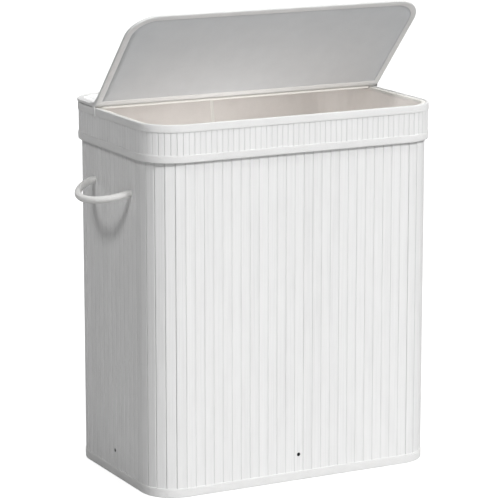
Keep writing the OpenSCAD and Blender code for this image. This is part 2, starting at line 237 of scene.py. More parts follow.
# %% [markdown]
# ## The outline
#
# Body, collar, tape and bag all follow one rounded rectangle at different offsets. The
# outline is worked out by walking along it: straight, round a quarter circle, straight. A
# walk of one quarter is enough, because the other three are its mirror images.

# %% Walking along the outline


def walk(distance, offset=0.0):
    """Points and outward directions a distance along the outline, from the front's middle
    towards -X. In a quarter: x grows along the front, then x = a + r sin t, y = b + r cos t
    round the corner, then y shrinks along the side. Odd quarters are walked backwards."""
    a = BODY_X - CORNER_R
    b = BODY_Y - CORNER_R
    r = CORNER_R + offset
    arc = r * np.pi / 2
    quarter = a + arc + b
    distance = np.asarray(distance, float)
    quarters = np.floor(distance / quarter + 1e-9)
    k = quarters.astype(int) % 4
    u = distance - quarters * quarter
    u = np.where(k % 2 == 1, quarter - u, u)
    angle = np.clip((u - a) / r, 0, np.pi / 2)
    x = np.minimum(u, a) + r * np.sin(angle)
    y = b - np.clip(u - a - arc, 0, b) + r * np.cos(angle)
    sign_x = np.where(k < 2, -1.0, 1.0)
    sign_y = np.where((k == 0) | (k == 3), -1.0, 1.0)
    place = np.stack([sign_x * x, sign_y * y], -1)
    outward = np.stack([sign_x * np.sin(angle), sign_y * np.cos(angle)], -1)
    return place, outward


def quarter_length(offset=0.0):
    """Half a front, a corner arc and half a side."""
    return BODY_X + BODY_Y - 2 * CORNER_R + (CORNER_R + offset) * np.pi / 2


def rounded_ring(low, high, radii, inset=0.0, straight=14, arc=12):
    """A rectangle with its own radius at each corner, drawn in by inset: a closed ring of
    points, counter-clockwise from above, and the outward direction at each. Every inset gives
    the same count of points, so rings at different insets join up."""
    low, high = np.asarray(low, float), np.asarray(high, float)
    corners = np.array([[0, 0], [1, 0], [1, 1], [0, 1]])
    tight = np.maximum(np.asarray(radii, float) - inset, 0.3 * MM)
    size = high - low - 2 * inset
    centres = low + inset + corners * size + (1 - 2 * corners) * tight[:, None]
    start = np.radians([180, 270, 0, 90])
    turn = np.linspace(0, np.pi / 2, arc + 1)
    angles = start[:, None] + turn[None, :]
    outward = np.stack([np.cos(angles), np.sin(angles)], -1)
    arcs = centres[:, None, :] + tight[:, None, None] * outward
    ends = np.roll(arcs[:, 0], -1, axis=0)
    share = np.linspace(0, 1, straight + 1)[1:-1]
    runs = arcs[:, -1, None, :] * (1 - share)[None, :, None] + ends[:, None, :] * share[None, :, None]
    along = np.repeat(outward[:, -1:], len(share), axis=1)
    points = np.concatenate([arcs, runs], axis=1).reshape(-1, 2)
    directions = np.concatenate([outward, along], axis=1).reshape(-1, 2)
    return points, directions


def body_ring(offset, straight=26, arc=16):
    """The body's outline at an offset, as a closed ring."""
    corner = np.array([BODY_X, BODY_Y])
    return rounded_ring(-corner, corner, [CORNER_R] * 4, -offset, straight, arc)


print("one ring of the body has", len(body_ring(0)[0]), "points")

# %% [markdown]
# ## From grids of points to meshes
#
# Every new piece is a grid of points, so one helper turns grids into meshes. It works out the
# quads of a whole family of equal grids at once, closes their ends, turns closed ones face
# outwards, lays a UV map in metres along and across the grid, and can give columns a tone.

# %% Grid helpers


def unit(vectors):
    """Vectors of length 1."""
    return vectors / np.linalg.norm(vectors, axis=-1, keepdims=True)


def points_at(*coordinates):
    """Points from x, y and z arrays, or numbers, that broadcast together."""
    return np.stack(np.broadcast_arrays(*coordinates), -1)


def at_height(flat, z):
    """Flat points given the height z."""
    return points_at(flat[..., 0], flat[..., 1], z)


def run_along(line):
    """Distance run along a line of points, one value per point."""
    steps = np.linalg.norm(np.diff(line, axis=0), axis=1)
    return np.concatenate([[0], np.cumsum(steps)])


def spokes(side, normal, count):
    """Unit vectors round each point of a line: side cos a + normal sin a, for count angles."""
    a = np.linspace(0, 2 * np.pi, count, endpoint=False)[None, :, None]
    return np.cos(a) * side[:, None] + np.sin(a) * normal[:, None]


def grid_quads(rows, columns, wrap_rows, wrap_columns):
    """Corner numbers of the quads of one grid; a wrapped direction joins its end to its start."""
    i = np.arange(rows if wrap_rows else rows - 1)
    j = np.arange(columns if wrap_columns else columns - 1)
    i, j = (m.ravel() for m in np.meshgrid(i, j, indexing="ij"))
    i2, j2 = (i + 1) % rows, (j + 1) % columns
    quads = np.stack([i * columns + j, i2 * columns + j, i2 * columns + j2, i * columns + j2], -1)
    cells = np.stack([i, i + 1, i + 1, i], -1), np.stack([j, j, j + 1, j + 1], -1)
    return quads, cells


def lengths(points, axis, wrap):
    """Distance run along one axis of a grid, taken on its middle line, one value per corner."""
    middle = points.take(points.shape[1 - axis] // 2, axis=1 - axis)
    if wrap:
        middle = np.concatenate([middle, middle[:1]])
    return run_along(middle)


def signed_volume(grids, quads, ends):
    """Volume inside each closed grid: the sum over its faces of the pyramids they make with the
    middle of the grid. It comes out negative where the faces point inwards."""
    points = grids.reshape(len(grids), -1, 3)
    points = points - points.mean(1, keepdims=True)
    a, b, c, d = (points[:, quads[:, k]] for k in range(4))
    total = np.sum(np.cross(a, b) * c + np.cross(a, c) * d, axis=(1, 2))
    for ring in ends:
        middle = points[:, ring].mean(1, keepdims=True)
        total += np.sum(np.cross(points[:, ring], points[:, np.roll(ring, -1)]) * middle, axis=(1, 2))
    return total / 6


def build(name, grids, wrap_rows=False, wrap_columns=False, caps=False, tones=None):
    """Makes one mesh object from grids shaped (count, rows, columns, 3). caps closes the first
    and last row of every grid, which must wrap across its columns. A closed grid whose faces
    would point inwards has its columns reversed. tones gives each column of each grid a value."""
    grids = np.asarray(grids, float)
    if grids.ndim == 3:
        grids = grids[None]
    count, rows, columns, _ = grids.shape
    quads, (ci, cj) = grid_quads(rows, columns, wrap_rows, wrap_columns)
    ends = [np.arange(columns), (rows - 1) * columns + np.arange(columns)[::-1]] if caps else []
    if wrap_columns and (wrap_rows or caps):
        inward = signed_volume(grids, quads, ends) < 0
        grids = np.where(inward[:, None, None, None], grids[:, :, ::-1], grids)
        if tones is not None:
            tones = np.where(inward[:, None], tones[:, ::-1], tones)
    shift = np.arange(count)[:, None, None] * rows * columns
    quads = (quads[None] + shift).reshape(-1, 4)
    uv = np.stack([lengths(grids[0], 0, wrap_rows)[ci], lengths(grids[0], 1, wrap_columns)[cj]], -1)
    uv = np.broadcast_to(uv, (count,) + uv.shape).reshape(-1, 2)
    corners, sizes = quads.ravel(), np.full(len(quads), 4)
    if caps:
        across = grids.reshape(count, -1, 3)[:, np.stack(ends)].reshape(-1, 3)[:, :2]
        uv = np.concatenate([uv, across])
        ends = (np.stack(ends)[None] + shift).reshape(-1, columns)
        corners = np.concatenate([corners, ends.ravel()])
        sizes = np.concatenate([sizes, np.full(len(ends), columns)])
    mesh = bpy.data.meshes.new(name)
    mesh.vertices.add(count * rows * columns)
    mesh.vertices.foreach_set("co", grids.ravel())
    mesh.loops.add(len(corners))
    mesh.loops.foreach_set("vertex_index", corners)
    mesh.polygons.add(len(sizes))
    mesh.polygons.foreach_set("loop_start", np.concatenate([[0], np.cumsum(sizes)[:-1]]))
    mesh.polygons.foreach_set("use_smooth", np.ones(len(sizes), bool))
    mesh.update(calc_edges=True)
    layer = mesh.uv_layers.new(name="surface")
    layer.data.foreach_set("uv", uv.astype(np.float32).ravel())
    if tones is not None:
        tone = mesh.attributes.new("tone", "FLOAT", "POINT")
        spread = np.broadcast_to(tones[:, None], (count, rows, columns))
        tone.data.foreach_set("value", spread.ravel().astype(np.float32))
    return add_object(name, mesh)


def dress(piece, material, body, slot, *replaced):
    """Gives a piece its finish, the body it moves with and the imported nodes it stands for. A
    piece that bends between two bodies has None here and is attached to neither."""
    piece.data.materials.append(material)
    if body:
        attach(piece, body)
    if replaced:
        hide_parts(*replaced)
    return piece


def soften(piece):
    """Smooth shading that stays crisp where faces meet at more than CRISP_ANGLE."""
    piece.data.set_sharp_from_angle(angle=CRISP_ANGLE)


# %% [markdown]
# ## Finishes
#
# Paint, cloth and rope are all nearly white, so they differ in their fine relief: the slats
# have a long grain under satin paint, the tape a fine weave along its own length, the bag a
# looser weave. Noise and waves drive colour and bump, and no finish is one flat colour.

# %% Finish helpers


def coordinates(tree, stretch=(1, 1, 1), source="Object"):
    """Object or UV coordinates, stretched along each axis."""
    texture = node(tree, "TexCoord")
    mapping = node(tree, "Mapping")
    mapping.inputs["Scale"].default_value = stretch
    tree.links.new(texture.outputs[source], mapping.inputs["Vector"])
    return mapping.outputs["Vector"]


def noise(tree, stretch, detail=3.0, roughness=0.55):
    """Noise in object coordinates; stretch is about how many blots fit a metre on each axis."""
    made = node(tree, "TexNoise", Scale=1.0, Detail=detail, Roughness=roughness)
    tree.links.new(coordinates(tree, stretch), made.inputs["Vector"])
    return made.outputs["Fac"]


def weighted(tree, *parts):
    """The sum of (socket, share) parts, each socket times its share."""
    scaled = [arithmetic(tree, "MULTIPLY", socket, share) for socket, share in parts]
    total = scaled[0]
    for part in scaled[1:]:
        total = arithmetic(tree, "ADD", total, part)
    return total


def tint(tree, shader, fac, *stops):
    """Colours a shader through a ramp of (position, colour) stops."""
    made = node(tree, "ValToRGB")
    elements = made.color_ramp.elements
    while len(elements) < len(stops):
        elements.new(0.5)
    for element, (position, colour) in zip(elements, stops):
        element.position = position
        element.color = (*colour, 1)
    tree.links.new(fac, made.inputs["Fac"])
    tree.links.new(made.outputs["Color"], shader.inputs["Base Color"])


def bump(tree, shader, height, distance, strength=1.0):
    """Fine relief: height runs from 0 to 1 and stands for this distance in metres."""
    made = node(tree, "Bump", Strength=strength, Distance=distance)
    tree.links.new(height, made.inputs["Height"])
    tree.links.new(made.outputs["Normal"], shader.inputs["Normal"])


def weave(tree, pitch, source):
    """Plain weave: the product of two sine waves, one thread pitch apart along each way. In
    object coordinates a second product covers the faces that stand upright."""
    parts = node(tree, "SeparateXYZ")
    tree.links.new(coordinates(tree, source=source), parts.inputs[0])
    turns = [arithmetic(tree, "MULTIPLY", way, float(np.pi / pitch)) for way in parts.outputs]
    waves = [arithmetic(tree, "SINE", turn, 0.0) for turn in turns]
    product = arithmetic(tree, "MULTIPLY", waves[0], waves[1])
    if source == "UV":
        return product
    return arithmetic(tree, "ADD", product, arithmetic(tree, "MULTIPLY", waves[1], waves[2]))


# %% Slat paint
# The ramp's lowest stop is reached where the painted groove shade darkens the slat edges.
PAINT = ((0.1, (0.70, 0.70, 0.698)), (0.52, (0.835, 0.835, 0.833)), (0.74, (0.88, 0.88, 0.878)))


def paint_material(name, stretch, grain_share, patch_share):
    """Satin white paint on bamboo: long faint grain, a soft tone for each slat, painted shade
    along each slat's long edges, and patches of a few centimetres."""
    material, tree, shader = new_material(name, roughness=0.42, specular=0.35)
    # The tone attribute holds each slat's own tone less the painted shade near its long edges.
    tone = node(tree, "Attribute", attribute_name="tone").outputs["Fac"]
    grain = noise(tree, stretch, 4.0, 0.65)
    patches = noise(tree, (60, 60, 18))
    value = weighted(tree, (tone, 0.25), (grain, grain_share), (patches, patch_share))
    tint(tree, shader, value, *PAINT)
    bump(tree, shader, grain, 0.00012, 0.6)
    return material


slat_paint = paint_material("white_slat_paint", (420, 420, 5), 0.55, 0.25)
panel_paint = paint_material("white_panel_paint", (420, 5, 5), 0.8, 0.0)

# %% Cloth, rope, wood and metal


def cloth_material(name, dark, light, pitch, relief, source="UV"):
    """Woven cloth: weave bump at the thread pitch, and a colour that drifts between two tones."""
    material, tree, shader = new_material(name, roughness=0.9, sheen=0.08, specular=0.2)
    drift = noise(tree, (30, 30, 30), 4.0)
    fuzz = noise(tree, (900, 900, 900), 2.0)
    tint(tree, shader, weighted(tree, (drift, 0.6), (fuzz, 0.4)), (0.3, dark), (0.7, light))
    bump(tree, shader, weighted(tree, (weave(tree, pitch, source), 1.0), (fuzz, 0.8)), relief)
    return material


def wood_material(name, dark, light, stretch):
    """Bare bamboo or board: streaks along the grain and a fine relief."""
    material, tree, shader = new_material(name, roughness=0.6, specular=0.3)
    grain = noise(tree, stretch, 5.0, 0.65)
    tint(tree, shader, grain, (0.3, dark), (0.7, light))
    bump(tree, shader, grain, 0.0002, 0.5)
    return material


def plain_material(name, dark, light, roughness, metallic=0.0):
    """Moulded or painted finish with a faint uneven tone."""
    material, tree, shader = new_material(name, roughness=roughness)
    shader.inputs["Metallic"].default_value = metallic
    spots = noise(tree, (400, 400, 400))
    tint(tree, shader, spots, (0.3, dark), (0.7, light))
    bump(tree, shader, spots, 0.00005, 0.4)
    return material


# Cloths: name, darker tone, lighter tone, thread pitch, depth of the weave.
tape_cloth = cloth_material(
    "white_tape", (0.83, 0.83, 0.825), (0.88, 0.88, 0.875), 0.55 * MM, 0.10 * MM)
cuff_cloth = cloth_material(
    "ivory_cuff", (0.86, 0.85, 0.81), (0.92, 0.91, 0.87), 0.6 * MM, 0.10 * MM)
bag_cloth = cloth_material(
    "liner_cotton", (0.81, 0.775, 0.745), (0.88, 0.845, 0.815), 0.8 * MM, 0.14 * MM)
panel_cloth = cloth_material(
    "panel_cloth", (0.635, 0.65, 0.665), (0.685, 0.70, 0.715), 0.7 * MM, 0.12 * MM, "Object")
# The backing cloth is grey as painted shade: it shows only as dark slat grooves and the gap under the rear
# panel.
backing_cloth = cloth_material(
    "backing_cloth", (0.55, 0.55, 0.54), (0.65, 0.65, 0.64), 0.8 * MM, 0.10 * MM, "Object")
rope_cotton = cloth_material(
    "rope_cotton", (0.83, 0.825, 0.81), (0.89, 0.885, 0.87), 0.9 * MM, 0.10 * MM)
thread = plain_material("sewing_thread", (0.80, 0.80, 0.79), (0.88, 0.88, 0.87), 0.7)
BAMBOO = (0.50, 0.36, 0.19), (0.68, 0.53, 0.33)
bamboo_x = wood_material("bamboo_along_x", *BAMBOO, (6, 180, 180))
bamboo_y = wood_material("bamboo_along_y", *BAMBOO, (180, 6, 180))
fibre_board = wood_material("fibre_board", (0.40, 0.30, 0.19), (0.50, 0.39, 0.26), (120, 120, 120))
black_steel = plain_material("black_steel", (0.010, 0.010, 0.011), (0.022, 0.022, 0.024), 0.35, 0.8)
white_nylon = plain_material("white_nylon", (0.70, 0.70, 0.69), (0.78, 0.78, 0.77), 0.45)
print(len(bpy.data.materials), "materials")

# %% [markdown]
# ## Slats
#
# A real slat is a flat strip with rounded edges and a slightly crowned face. One profile is
# carried along every slat, and each slat stands square to the outline at its own place, so
# that the corners are made of small flats, as on the real wall. Random draws give each slat
# its own tone, a hair of bow and a hair of lean.

# %% Slat profile and placing

random = np.random.default_rng(7)
# Painted shade: over GROOVE_W towards each long edge the slat colour darkens by GROOVE_SHADE.
GROOVE_W = 1.6 * MM
GROOVE_SHADE = 0.75
TONE_SPREAD = 0.13
SLAT_BOW = 0.03 * MM
SLAT_LEAN = 0.003


def bar_profile(width, thickness, edge=1.9 * MM, depth=0.6 * MM, crown=0.10 * MM):
    """A closed outline across a slat: (across, outward) points. The outer corners are quarter
    ellipses, edge wide and depth deep, the inner ones small and round. The outer face is
    raised in its middle by crown times 1 - (2x / width) squared, less the crown."""
    turn = np.linspace(0, np.pi / 2, 6)
    face = np.linspace(0.8, -0.8, 5) * (width / 2 - edge)
    small = 0.3 * MM
    corners = []
    for start, sx, sy, a, b in ((0, 1, 1, edge, depth), (np.pi / 2, -1, 1, edge, depth),
                                (np.pi, -1, -1, small, small), (3 * np.pi / 2, 1, -1, small, small)):
        centre = np.array([sx * (width / 2 - a), thickness / 2 + sy * (thickness / 2 - b)])
        corners.append(centre + np.stack([a * np.cos(start + turn), b * np.sin(start + turn)], -1))
    top = np.stack([face, np.full(5, thickness)], -1)
    outline = np.concatenate([corners[0], top, corners[1], corners[2], corners[3]])
    fall = crown * (2 * outline[:, 0] / width) ** 2
    outline[:, 1] -= np.where(outline[:, 1] > thickness / 2, fall, 0)
    return outline


def slat_tones_and_painted_shade(profile, count):
    """A tone for every column of every slat: chance gives the slat's own tone, and painted shade
    lowers it by GROOVE_SHADE from GROOVE_W inside each long edge to the edge, for the shaded groove."""
    edge_distance = np.abs(profile[:, 0]).max() - np.abs(profile[:, 0])
    painted_groove_shade = np.clip(1 - edge_distance / GROOVE_W, 0, 1)
    return np.clip(random.normal(0.5, TONE_SPREAD, count), 0, 1)[:, None] - GROOVE_SHADE * painted_groove_shade[None]


def wall_slats(name, chosen, offset, pitch, gap, z_low, z_high, body, *replaced):
    """The slats with these numbers, standing on the outline at offset. Slat 0 is the middle of
    the front. Their length has a few rows, so that each bows by a few hundredths of a
    millimetre, and each is turned about its own length by a fraction of a degree."""
    count = len(chosen)
    profile = bar_profile(pitch - gap, SLAT_T)
    rise = np.linspace(0, 1, 9)
    place, outward = walk(chosen * pitch, offset)
    lean = np.clip(random.normal(0, SLAT_LEAN, count), -2 * SLAT_LEAN, 2 * SLAT_LEAN)
    outward = outward + lean[:, None] * np.stack([-outward[:, 1], outward[:, 0]], -1)
    tangent = np.stack([-outward[:, 1], outward[:, 0]], -1)
    bow = random.normal(0, SLAT_BOW, (count, 2))[:, None, :] * np.sin(np.pi * rise)[None, :, None]
    across = profile[None, None, :, 0] + bow[..., 1, None]
    out = profile[None, None, :, 1] + np.abs(bow[..., 0, None]) * 0.5
    xy = (place[:, None, None] + tangent[:, None, None] * across[..., None]
          + outward[:, None, None] * out[..., None])
    z = z_low + (z_high - z_low) * rise
    piece = build(name, at_height(xy, z[:, None]), wrap_columns=True, caps=True,
                  tones=slat_tones_and_painted_shade(profile, count))
    soften(piece)
    return dress(piece, slat_paint, body, "slats", *replaced)


def slat_runs(offset, wanted):
    """Slat numbers of the front, left, rear, right and corners, and their true spacing."""
    quarter = quarter_length(offset)
    n = int(round(quarter / wanted))
    pitch = quarter / n
    numbers = np.arange(4 * n)
    quarter_number = numbers // n
    within = np.where(quarter_number % 2 == 1, n - numbers % n, numbers % n) * pitch
    on_front = within <= BODY_X - CORNER_R + 0.02 * MM
    on_side = within >= quarter - (BODY_Y - CORNER_R) - 0.02 * MM
    front = np.isin(quarter_number, (0, 3))
    left = np.isin(quarter_number, (0, 1))
    return {
        "front": numbers[on_front & front], "rear": numbers[on_front & ~front],
        "left": numbers[on_side & left], "right": numbers[on_side & ~left],
        "corner": numbers[~on_front & ~on_side],
    }, pitch


# %% Body and collar slats
body_slats = {}
for place, node_name, offset, wanted, gap, body in (
    ("wall", "{}_slats", -SLAT_T, BODY_PITCH, BODY_GAP, "hamper_body"),
    ("collar", "collar_{}_slats", COLLAR_OUT - SLAT_T, LID_PITCH, LID_GAP, "lid_frame"),
):
    runs, pitch = slat_runs(offset, wanted)
    low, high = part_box(node_name.format("front"))
    for run, numbers in runs.items():
        replaced = node_name.format(run)
        piece = wall_slats(f"{run}_{place}_slats", numbers, offset, pitch, gap, low[2], high[2],
                           body, replaced)
        if place == "wall":
            body_slats[run] = piece
        print(replaced, len(numbers), "slats")

# %% [markdown]
# The rope and the screws pass through the slats, so those slats are drilled: a Boolean takes
# a short round bar out of them, and the edge angle keeps the hole's rim crisp.

# %% Drilling


def drill(piece, place, axis, diameter):
    """Takes a round hole out of a piece along an axis."""
    bpy.ops.mesh.primitive_cylinder_add(vertices=40, radius=diameter / 2, depth=HOLE_DEPTH,
                                        location=place)
    bit = bpy.context.object
    bit.rotation_euler = Vector(axis).to_track_quat("Z", "Y").to_euler()
    cut = piece.modifiers.new("hole", "BOOLEAN")
    cut.operation = "DIFFERENCE"
    cut.solver = "EXACT"
    cut.object = bit
    bpy.context.view_layer.update()
    graph = bpy.context.evaluated_depsgraph_get()
    mesh = bpy.data.meshes.new_from_object(piece.evaluated_get(graph), preserve_all_data_layers=True,
                                           depsgraph=graph)
    piece.modifiers.clear()
    old = piece.data
    piece.data = mesh
    bpy.data.meshes.remove(old)
    bpy.data.objects.remove(bit)
    soften(piece)


SCREW_Z = sum(corner[2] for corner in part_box("batten_screws")) / 2
SCREW_HOLE_D = 6.2 * MM
ROPE_HOLE_D = ROPE_D + 1.0 * MM
HOLE_DEPTH = 12 * MM
washer_low, washer_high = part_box("rope_washers")
HANDLE_Z = (washer_low[2] + washer_high[2]) / 2
HOLE_Y = washer_high[1] - (washer_high[2] - washer_low[2]) / 2
for run, sign in (("front", -1), ("rear", 1)):
    drill(body_slats[run], (0, sign * BODY_Y, SCREW_Z), (0, 1, 0), SCREW_HOLE_D)
for run, sign in (("left", -1), ("right", 1)):
    drill(body_slats[run], (sign * BODY_X, 0, SCREW_Z), (1, 0, 0), SCREW_HOLE_D)
    for y in (-HOLE_Y, HOLE_Y):
        drill(body_slats[run], (sign * BODY_X, y, HANDLE_Z), (1, 0, 0), ROPE_HOLE_D)

# %% [markdown]
# ## Binding tape
#
# Each bound edge is a strip of tape folded over it. Its profile is a closed loop of points,
# offset and height, and is carried round the outline ring. The tape is a little fuller in
# the middle of each leaf, and its raw edges are turned, so they are round. Rows of stitches
# run along the leaves as small capsules.

# %% Tape profile and stitches
TAPE_PUFF = 0.3 * MM
STITCH_PITCH = 4.2 * MM
STITCH_L = 3.0 * MM
STITCH_W = 0.55 * MM
BAND_SEAM_IN = 2.6 * MM
PANEL_SEAM_IN = 2.2 * MM


def rounded_chain(corners, radii, steps=5):
    """A closed polygon with each corner replaced by an arc-like curve: a quadratic Bezier from
    one side to the other, tangent to both."""
    corners = np.asarray(corners, float)
    before, after = np.roll(corners, 1, axis=0), np.roll(corners, -1, axis=0)
    t = np.linspace(0, 1, steps)[None, :, None]

    def towards(target):
        size = np.linalg.norm(target - corners, axis=1, keepdims=True)
        reach = np.minimum(np.asarray(radii)[:, None], size * 0.48)
        return corners + unit(target - corners) * reach

    a, b, c = towards(before)[:, None], corners[:, None], towards(after)[:, None]
    return ((1 - t) ** 2 * a + 2 * t * (1 - t) * b + t ** 2 * c).reshape(-1, 2)


def folded_tape(outer, inner, edge, height, up):
    """Profile of tape folded over an edge at height edge. up is 1 where it folds over the top
    and -1 where it folds under. Points are (offset, z)."""
    far = edge - up * height
    web = edge - up * CLOTH_T
    middle = (edge + far) / 2
    o, i, t, puff = outer, inner, CLOTH_T, TAPE_PUFF
    corners = [
        (o, far), (o + t + puff, far), (o + t + puff, middle), (o + t, edge),
        (i - t, edge), (i - t - puff * 0.5, middle), (i - t, far), (i, far), (i, web), (o, web),
    ]
    big, small = 1.6 * t, 0.35 * t
    radii = [small, small, 20 * t, big, big, 20 * t, small, small, 0.2 * t, 0.2 * t]
    profile = rounded_chain(corners, radii)
    return profile if up > 0 else profile[::-1]


def as_built(points):
    return points


def ring_sweep(name, profile, ring, turn=as_built):
    """Carries a profile of (offset, z) points round a ring. ring(offset) gives that offset's
    closed ring of points, and turn moves them to where they stand at rest."""
    grid = np.stack([at_height(ring(offset)[0], z) for offset, z in profile], axis=1)
    return build(name, turn(grid), wrap_rows=True, wrap_columns=True)


def stitches(name, path, outward):
    """Small capsules along a closed line of 3D points: each lies along the line, half sunk in
    it. A capsule is a ring of points whose radius follows the square root of 1 - t squared."""
    loop = np.concatenate([path, path[:1]])
    run = run_along(loop)
    count = int(run[-1] / STITCH_PITCH)
    at = (np.arange(count) + 0.5) * run[-1] / count
    out_loop = np.concatenate([outward, outward[:1]])

    def sample(values, where):
        return np.stack([np.interp(where, run, values[:, k]) for k in range(3)], -1)

    t = np.linspace(-1, 1, 6)
    centres = sample(loop, (at[:, None] + t[None, :] * STITCH_L / 2).ravel()).reshape(count, 6, 3)
    normals = unit(sample(out_loop, at))
    side = np.cross(unit(centres[:, -1] - centres[:, 0]), normals)
    radius = STITCH_W / 2 * np.sqrt(np.clip(1 - t ** 2, 0.04, 1))
    grid = centres[:, :, None] + radius[None, :, None, None] * spokes(side, normals, 6)[:, None]
    return build(name, grid, wrap_columns=True, caps=True)


def tape_band(name, outer, inner, edge, height, up, body, replaced):
    """One bound edge, with a row of stitches on its outer leaf near the tape's free edge."""
    piece = ring_sweep(name, folded_tape(outer, inner, edge, height, up), body_ring)
    dress(piece, tape_cloth, body, "binding", replaced)
    z = edge - up * (height - BAND_SEAM_IN)
    ring, direction = body_ring(outer + CLOTH_T + TAPE_PUFF + 0.02 * MM)
    row = stitches(name + "_stitches", at_height(ring, z), at_height(direction, 0.0))
    dress(row, thread, body, "binding")


# %% Bound edges of the body and the collar
COLLAR_IN = COLLAR_OUT - SLAT_T - CLOTH_T
for name, node_name, outer, inner, up, body in (
    ("base_edge_tape", "base_binding", 0.0, -SLAT_T - CLOTH_T, -1, "hamper_body"),
    ("rim_edge_tape", "body_top_binding", 0.0, -2 * SLAT_T - CLOTH_T, 1, "hamper_body"),
    ("collar_top_tape", "collar_top_binding", COLLAR_OUT, COLLAR_IN, 1, "lid_frame"),
    ("collar_base_tape", "collar_base_binding", COLLAR_OUT, COLLAR_IN, -1, "lid_frame"),
):
    low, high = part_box(node_name)
    edge = high[2] if up > 0 else low[2]
    tape_band(name, outer, inner, edge, high[2] - low[2], up, body, node_name)
    print(name, "edge at", round(edge, 4))

# %% [markdown]
# ## Liner
#
# The bag is cotton, folded over the rim as a cuff and slack below it. The cuff is swept like
# the tape, with a softer fold. The bag is a lofted shell: rings that start at the rim, hang
# inwards, gather in shallow folds and turn in to the floor. The folds are a sum of cosines
# whose count round the bag is whole, so they close on themselves.

# %% Cuff and bag
cuff_low, cuff_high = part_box("liner_cuff")
bag_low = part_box("liner_bag")[0]
LINER_IN = -2 * SLAT_T - 2 * CLOTH_T
BAG_T = 0.6 * MM
CLEAR_OF_WALL = 1.2 * MM
SLACK_BELOW_RIM, SLACK_HALFWAY = 5 * MM, 9 * MM
FOLD_SIZE, CREASE_SIZE, FOLD_LIMIT = 4.2 * MM, 0.7 * MM, 3.5 * MM
FLOOR_TURN = 14 * MM


def whole_waves(angle, height, counts, seed):
    """Sum of cosines round the bag (whole counts) and along its height, about -1 to 1."""
    draw = np.random.default_rng(seed)
    total = np.zeros(np.broadcast(angle, height).shape)
    for count in counts:
        phase, lean, depth_phase = draw.uniform(0, 2 * np.pi, 3)
        tilt = draw.uniform(-3, 3)
        total += np.cos(count * angle + phase + tilt * height * 4) * (0.6 + 0.4 * np.cos(
            lean + height * 9 + depth_phase)) / len(counts) ** 0.5
    return total


def liner_cuff():
    """A fold over the rim, like the tape's but softer."""
    outer, inner = cuff_high[1] - BODY_Y - 0.4 * MM, LINER_IN
    corners = [
        (outer, cuff_low[2]), (outer + 0.4 * MM, cuff_low[2]), (outer + 0.5 * MM, cuff_high[2]),
        (inner - 0.6 * MM, cuff_high[2]), (inner - 0.9 * MM, cuff_low[2]), (inner - 0.3 * MM, cuff_low[2]),
        (inner - 0.1 * MM, cuff_high[2] - 0.6 * MM), (outer, cuff_high[2] - 0.6 * MM),
    ]
    radii = np.array([0.15, 0.15, 2.4, 2.4, 0.15, 0.15, 0.5, 0.5]) * MM
    profile = rounded_chain(corners, radii, 7)
    piece = ring_sweep("bag_cuff", profile, body_ring)
    return dress(piece, cuff_cloth, "hamper_body", "liner_cloth", "liner_cuff")


def liner_bag():
    """Rings of the outline at an offset that grows with depth, plus folds, then a floor that
    closes towards the middle. The slack leaves the rim as 1 - exp(-14 depth)."""
    walls, floors = 70, 14
    ring, direction = body_ring(0, straight=54, arc=22)
    angle = np.linspace(0, 2 * np.pi, len(ring), endpoint=False)
    depth = np.linspace(0, 1, walls) ** 1.15
    top, bottom = cuff_high[2] - 3 * MM, bag_low[2] + 1.0 * MM
    z = top + (bottom - top) * depth
    slack = -SLACK_BELOW_RIM - SLACK_HALFWAY * np.sin(np.pi * depth) ** 0.7
    leave = 1 - np.exp(-depth * 14)
    folds = whole_waves(angle[None], depth[:, None], (5, 9, 14, 22, 31, 47), 3)
    fine = whole_waves(angle[None], 2.5 * depth[:, None], (38, 61, 83), 5)
    swing = (FOLD_SIZE * folds + CREASE_SIZE * fine) * (leave * (1 - 0.45 * depth))[:, None]
    offset = LINER_IN - CLEAR_OF_WALL + (slack * leave)[:, None] + np.minimum(swing, FOLD_LIMIT)
    offset = offset - FLOOR_TURN * np.clip((depth - 0.93) / 0.07, 0, 1)[:, None] ** 2
    sag = 0.8 * MM * whole_waves(angle[None], depth[:, None], (4, 7, 11), 8)
    wall = at_height(ring[None] + direction[None] * offset[..., None], z[:, None] + sag)
    shrink = 1 - np.linspace(0, 1, floors + 1)[1:] ** 0.9 * 0.985
    floor = wall[-1:, :, :] * np.array([1, 1, 0]) * shrink[:, None, None]
    ripple = 0.5 * MM * whole_waves(angle[None], shrink[:, None] * 2, (3, 5, 8), 9)
    floor[..., 2] = bag_low[2] + 0.8 * MM + ripple
    piece = build("cotton_bag", np.concatenate([wall, floor]), wrap_columns=True)
    shell = piece.modifiers.new("cloth", "SOLIDIFY")
    shell.thickness = BAG_T
    shell.offset = 0
    dress(piece, bag_cloth, "hamper_body", "liner_cloth", "liner_bag")
    return wall


def liner_seam(wall):
    """The bag's sewn seam down the middle of its rear: a folded strip that follows the wall."""
    at_rear = np.where(wall[0, :, 1] > 0, np.abs(wall[0, :, 0]), 1.0)
    line = wall[:-6, np.argmin(at_rear)]
    corners = [(-3.4, 0.2), (3.4, 0.2), (2.6, -1.3), (-2.6, -1.3)]
    profile = rounded_chain(corners, [0.2, 0.2, 0.9, 0.9]) * MM
    grid = line[:, None] + at_height(profile, 0.0)[None]
    piece = build("bag_seam", grid, wrap_columns=True, caps=True)
    return dress(piece, cuff_cloth, "hamper_body", "liner_cloth")


liner_cuff()
liner_seam(liner_bag())

# %% [markdown]
# ## Lid panels
#
# Both panels are boards with slats above, cloth below and tape round the edge. The rear one
# is sewn to the collar. The flap is worked out shut and level, then every point is turned
# about the hinge line to where the flap stands at rest.

